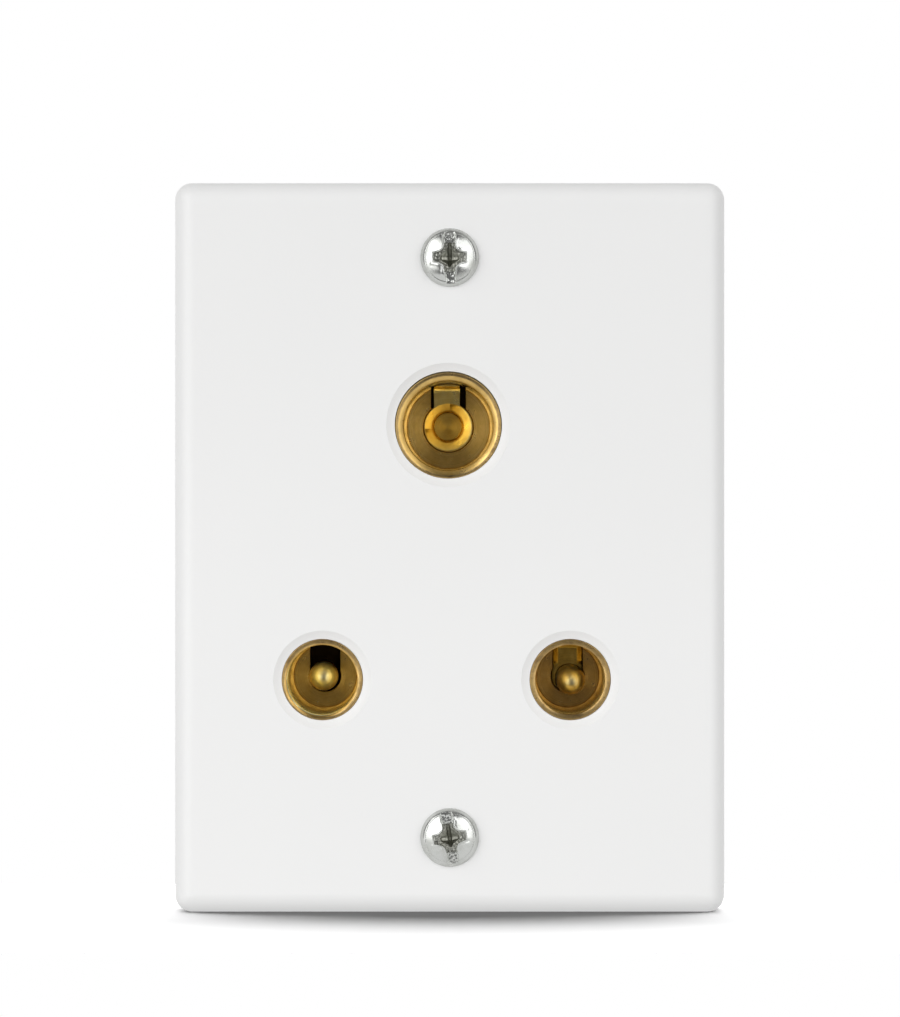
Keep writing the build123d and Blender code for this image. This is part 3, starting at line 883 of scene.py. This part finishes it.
def waves(x, z, seed, scale, count=24):
    """Smooth noise between about -1 and 1: a sum of plane waves with seeded directions and phases."""
    random = np.random.default_rng(seed)
    total = np.zeros_like(x)
    for _ in range(count):
        turn, phase = random.uniform(0, 2 * np.pi, 2)
        pace = scale * random.uniform(0.5, 1.5)
        total += np.sin(pace * (x * math.cos(turn) + z * math.sin(turn)) + phase)
    return total / math.sqrt(count / 2)


def head_height(x, z, seed):
    """Height of the head above the plate: a dome and a sloping rim, less the slot and the cross.

    The slot is a band of x that narrows a little downwards. The cross's outline is the curve
    (|x| - flare_x)(|z| - flare_z) = flare_bend, cut off at cross_reach, so its corners are hollow.
    Its floor is a pyramid that rises outwards from a slit, and its arms end on a shelf. A ridge
    along the edges is the burr, and a ragged band beside it is torn.
    """
    r = np.hypot(x, z)
    fall = head_sphere - np.sqrt(head_sphere**2 - np.minimum(r, dome_outer) ** 2)
    height = crown_height - fall
    out = np.clip((r - rim_inner) / (head_outer - rim_inner), 0, 1)
    rim = shoulder_height - rim_step - rim_fall * (0.55 * out + 0.45 * out**3)
    height = np.where(r > dome_outer, rim, height)
    wander = edge_wander * waves(x, z, seed, 3.0)
    lean = np.tanh(1.5 * z)
    slot = abs(x - slot_drift + slot_drift * lean) - slot_half - slot_drift * lean + wander
    apart_x, apart_z = abs(x) - flare_x, abs(z) - flare_z
    star = (apart_x + apart_z - np.sqrt((apart_x - apart_z) ** 2 + 4 * flare_bend)) / 2
    star = np.maximum.reduce([star, abs(x) - cross_reach, abs(z) - cross_rise]) + wander
    grain = waves(x, z, seed + 1, 16.0)
    floor = np.minimum(height, slot_floor + 0.009 * grain)
    slotted_height = height + (floor - height) * step(-slot + 0.02, wall_width)
    slope = 0.5 * abs(x) + 0.45 * np.maximum(abs(x) - 0.8, 0)
    slope += 0.5 * np.maximum(z - 0.02, 0) + 1.1 * np.maximum(-z - 0.3 + 0.12 * abs(x), 0)
    slit = slit_depth * (1 - step(abs(x) - slit_half, slit_width))
    pit = np.minimum(cross_bottom + slope - slit + 0.006 * grain, cross_floor + 0.012 * grain)
    drop = np.minimum(pit, slotted_height) - slotted_height
    result = slotted_height + drop * step(-star + 0.02, wall_width)
    edge = np.minimum(slot, star) - burr_width * 0.6
    ragged = np.clip(0.8 + 0.25 * waves(x, z, seed + 3, 5.0), 0.3, 1.3)
    burr = burr_height * ragged * np.exp(-((edge / (burr_width * 0.6)) ** 2))
    torn = torn_height * waves(x, z, seed + 5, 7.0) * np.exp(-(((edge - torn_reach) / torn_width) ** 2))
    torn *= step(abs(z) - 0.3, 0.3)
    return np.minimum(result + (burr + torn) * (r < dome_outer), crown_height)


def fixing_screw(z0, turn, seed):
    """Two turned surfaces: the head, as rings that follow head_height, and the threaded shank."""
    angles = np.linspace(-np.pi, np.pi, 480, endpoint=False)
    rim_rings = np.linspace(rim_inner, head_outer, 14)
    rings = np.concatenate([np.linspace(0, dome_outer, 120), [dome_outer + 0.01], rim_rings])
    r, a = np.meshgrid(rings, angles, indexing="ij")
    x, z = r * np.sin(a), r * np.cos(a)
    lean = math.radians(turn)
    height = head_height(
        x * math.cos(lean) + z * math.sin(lean), z * math.cos(lean) - x * math.sin(lean), seed
    )
    top = np.stack([x, plate_front - height, z], axis=-1)
    start = plate_front + 1
    below = [(head_outer, plate_front), (thread_outer, plate_front), (thread_outer, start)]
    lower = turned(section_of(below, angles), (0, 0, 0), angles)[0].reshape(len(below), len(angles), 3)
    rows = np.concatenate([top, lower])
    rows[..., 2] += z0
    index = np.arange(rows[..., 0].size).reshape(rows.shape[:2])
    head = (rows.reshape(-1, 3), quads(index, wrap_columns=True))
    few = np.linspace(-np.pi, np.pi, 60, endpoint=False)
    shank = [(0, start)]
    for y in np.arange(start, screw_tip - 0.5, fixing_pitch / 10):
        threaded = thread_radius(y, few, thread_outer, fixing_pitch, fixing_depth)
        ease = min((y - start) / fixing_pitch, 1.0)
        shank.append((thread_outer + (threaded - thread_outer) * ease, y))
    shank += [(1.2, screw_tip - 0.4), (0.9, screw_tip), (0, screw_tip)]
    return [head, turned(section_of(shank, few), (0, 0, z0), few)]


def plated(name, colour, dull, recess_shade, roughness, depth):
    """Bright zinc plate over formed steel: a fine mottle in its shade, its gloss and its height.

    In the recess of a fixing screw the colour darkens the deeper a point lies, which is painted
    shade, and the plate dulls there. The recess is where a point is nearer to the centre of the
    head's sphere than its radius, by a depth that grows with the dark.
    """
    material, tree, shader = principled(name, Metallic=1.0, Roughness=roughness)
    place = node(tree, "ShaderNodeTexCoord").outputs["Object"]
    mottle = noise(tree, place, 2600.0, 4.0, 0.7)
    patch = noise(tree, place, 700.0, 3.0)
    tint = mix_colour(tree, ramp(tree, patch, 0.4, 0.75), colour, dull)
    part = node(tree, "ShaderNodeSeparateXYZ", {0: place})
    height = math_node(tree, "SUBTRACT", math_node(tree, "ABSOLUTE", part.outputs[2]), screw_pitch / 2 * mm)
    sphere_y = (plate_front - crown_height + head_sphere) * mm
    depth_in = math_node(tree, "SUBTRACT", part.outputs[1], sphere_y)
    reach, away = (
        node(tree, "ShaderNodeVectorMath", {0: where.outputs[0]}, operation="LENGTH").outputs["Value"]
        for where in (
            node(tree, "ShaderNodeCombineXYZ", {0: part.outputs[0], 1: depth_in, 2: height}),
            node(tree, "ShaderNodeCombineXYZ", {0: part.outputs[0], 2: height}),
        )
    )
    # Painted shade: the deeper a point lies in the head's recess, the darker it is.
    inside = math_node(tree, "LESS_THAN", away, (dome_outer - 0.02) * mm)
    painted_recess_shade = ramp(tree, reach, (head_sphere - 0.5) * mm, (head_sphere - 1.1) * mm)
    painted_recess_shade = math_node(tree, "MULTIPLY", painted_recess_shade, inside)
    tree.links.new(mix_colour(tree, painted_recess_shade, tint, recess_shade), shader.inputs["Base Color"])
    rough = ramp(tree, patch, 0.3, 0.7, roughness - 0.05, roughness + 0.12)
    rough = math_node(tree, "MULTIPLY_ADD", painted_recess_shade, 0.08, rough)
    tree.links.new(rough, shader.inputs["Roughness"])
    bump = node(tree, "ShaderNodeBump", {"Height": mottle, "Distance": depth})
    tree.links.new(bump.outputs[0], shader.inputs["Normal"])
    return material


zinc = plated(
    "bright_zinc", colour=(0.60, 0.61, 0.59), dull=(0.48, 0.49, 0.46), recess_shade=(0.31, 0.31, 0.27),
    roughness=0.22, depth=0.000006,
)
for place, side, turn, seed in (("top", 1, 0.0, 3), ("bottom", -1, 8.0, 11)):
    shells = fixing_screw(side * screw_pitch / 2, turn, seed)
    piece(f"fixing_screw_{place}", shells, zinc, f"mounting_screw_{place}", 50.0)

# Rear base and the fittings in it
# The base is one black phenolic moulding. The terminal blocks are cut from brass bar, the
# washers are punched steel, and two plated screws hold the base to the plate.
# Depth to which the blocks' faces and the neutral leaf in the keyways are near black: partly oxide, partly
# painted shade.
oxide_and_shade_back = tube_back + 1.5


def finish(cad_node, material):
    """Gives a CAD node, which keeps its own mesh, its material."""
    frame["nodes"][cad_node].material_slots[0].material = material


phenolic = moulded(
    "black_moulding", colour=(0.022, 0.020, 0.019), tint=(0.035, 0.031, 0.028), grain=1800.0, depth=0.00003,
    Roughness=0.42,
)
finish("rear_base", phenolic)
for name in poles:
    bar_brass = brass(
        f"{name}_block_brass", axes[name], pitch=0.00025, roughness=0.34, grain=0.2,
        oxide_and_shade=(tube_back, oxide_and_shade_back, contacts[name][1] + 0.5),
    )
    finish(f"{name}_terminal_block", bar_brass)
    finish(f"{name}_clamp_washer", zinc)
neutral_leaf_brass = brass(
    "neutral_leaf_brass", neutral_centre, roughness=0.36, grain=0.2,
    oxide_and_shade=(tube_back - 0.1, oxide_and_shade_back, contacts["neutral"][1]),
)
finish("neutral_leaf", neutral_leaf_brass)
finish("base_screw_left", zinc)
finish("base_screw_right", zinc)

# Studio
# A plain white table and background, a large soft light at each side and a dim room behind
# the camera. The table's paper is grey and its own lamp brings it to white, while every ray but
# the camera's sees it glow evenly. It casts no shadow, and from below it is clear.
floor_z = plate_low[2] * mm
table_grey = 0.19
table_glow, table_gloss = 0.54, 0.36
table_half = 0.4
table_front, table_back = -0.072, 0.045
paper_material = bpy.data.materials.new("white_table")
paper_material.use_nodes = True
tree = paper_material.node_tree
tree.nodes.clear()
path = node(tree, "ShaderNodeLightPath")
paper = node(tree, "ShaderNodeBsdfDiffuse", {"Color": (table_grey, table_grey, table_grey, 1)})
level = math_node(tree, "MULTIPLY_ADD", path.outputs["Is Glossy Ray"], table_gloss, table_glow)
glow = node(tree, "ShaderNodeEmission", {"Color": (1, 1, 1, 1), "Strength": level})
clear = node(tree, "ShaderNodeBsdfTransparent")
underside = node(tree, "ShaderNodeNewGeometry").outputs["Backfacing"]
seen = path.outputs["Is Camera Ray"]
above = node(tree, "ShaderNodeMixShader", {0: seen, 1: glow.outputs[0], 2: paper.outputs[0]})
sheet = node(tree, "ShaderNodeMixShader", {0: underside, 1: above.outputs[0], 2: clear.outputs[0]})
node(tree, "ShaderNodeOutputMaterial", {0: sheet.outputs[0]})
table_mesh = bpy.data.meshes.new("table")
table_mesh.from_pydata(
    [
        (-table_half, table_front, floor_z),
        (table_half, table_front, floor_z),
        (table_half, table_back, floor_z),
        (-table_half, table_back, floor_z),
    ],
    [],
    [(0, 1, 2, 3)],
)
table_mesh.materials.append(paper_material)
table = bpy.data.objects.new("table", table_mesh)
bpy.context.scene.collection.objects.link(table)
table.visible_shadow = False


def area_light(name, place, aim, width, height, watts):
    """A soft rectangular light at a place in metres that faces along aim, unseen by the camera."""
    lamp = bpy.data.lights.new(name, "AREA")
    lamp.shape = "RECTANGLE"
    lamp.size = width
    lamp.size_y = height
    lamp.energy = watts
    obj = bpy.data.objects.new(name, lamp)
    obj.location = place
    obj.rotation_euler = (-Vector(aim)).to_track_quat("Z", "Y").to_euler()
    obj.visible_camera = False
    bpy.context.scene.collection.objects.link(obj)
    return obj


def softbox(name, azimuth, elevation, distance, width, height, watts):
    """A soft light that faces the plate from a direction, in degrees from the camera's side."""
    turn, rise = math.radians(azimuth), math.radians(elevation)
    place = Vector((math.sin(turn) * math.cos(rise), -math.cos(turn) * math.cos(rise), math.sin(rise)))
    return area_light(name, place * distance, -place, width, height, watts)


for name, azimuth, watts in (("left_softbox", -43, 3.2), ("right_softbox", 43, 2.37)):
    softbox(name, azimuth, 13, 0.6, 0.5, 0.86, watts)

# The panel behind the object lights only the table, so that the paper is white round the
# object's soft shadow.
table_lamp = area_light("table_lamp", (0, 0.15, floor_z + 0.4), (0, -1, 0), 1.2, 0.8, 72.0)
table_only = bpy.data.collections.new("table_only")
table_only.objects.link(table)
table_lamp.light_linking.receiver_collection = table_only

# The room is dim in front of the object and bright behind it, and metal sees it brighter.
room_dim, room_bright, room_gloss = 0.14, 0.85, 0.3
world = bpy.data.worlds.new("room")
bpy.context.scene.world = world
world.use_nodes = True
tree = world.node_tree
tree.nodes.clear()
look = node(tree, "ShaderNodeTexCoord").outputs["Generated"]
part = node(tree, "ShaderNodeSeparateXYZ", {0: look})
path = node(tree, "ShaderNodeLightPath")
behind = ramp(tree, part.outputs["Y"], -0.35, 1.0)
back_level = math_node(tree, "MULTIPLY_ADD", path.outputs["Is Glossy Ray"], room_gloss, room_bright)
room = node(tree, "ShaderNodeMix", {0: behind, 2: room_dim, 3: back_level}, data_type="FLOAT").outputs[0]
seen = path.outputs["Is Camera Ray"]
level = node(tree, "ShaderNodeMix", {0: seen, 2: room, 3: 1.0}, data_type="FLOAT").outputs[0]
sky = node(tree, "ShaderNodeBackground", {"Color": (1, 1, 1, 1), "Strength": level})
node(tree, "ShaderNodeOutputWorld", {0: sky.outputs[0]})

# The camera looks straight at the plate, a little above its middle.
camera_place = (0.000031, -0.7085, 0.003996)
camera_data = bpy.data.cameras.new("camera")
camera_data.sensor_width = 36.0
camera_data.lens = 241.94
camera_data.clip_start = 0.05
camera = bpy.data.objects.new("camera", camera_data)
camera.location = camera_place
camera.rotation_euler = (math.radians(90), 0, 0)
bpy.context.scene.collection.objects.link(camera)
bpy.context.scene.camera = camera
bpy.context.scene.view_settings.view_transform = "Standard"
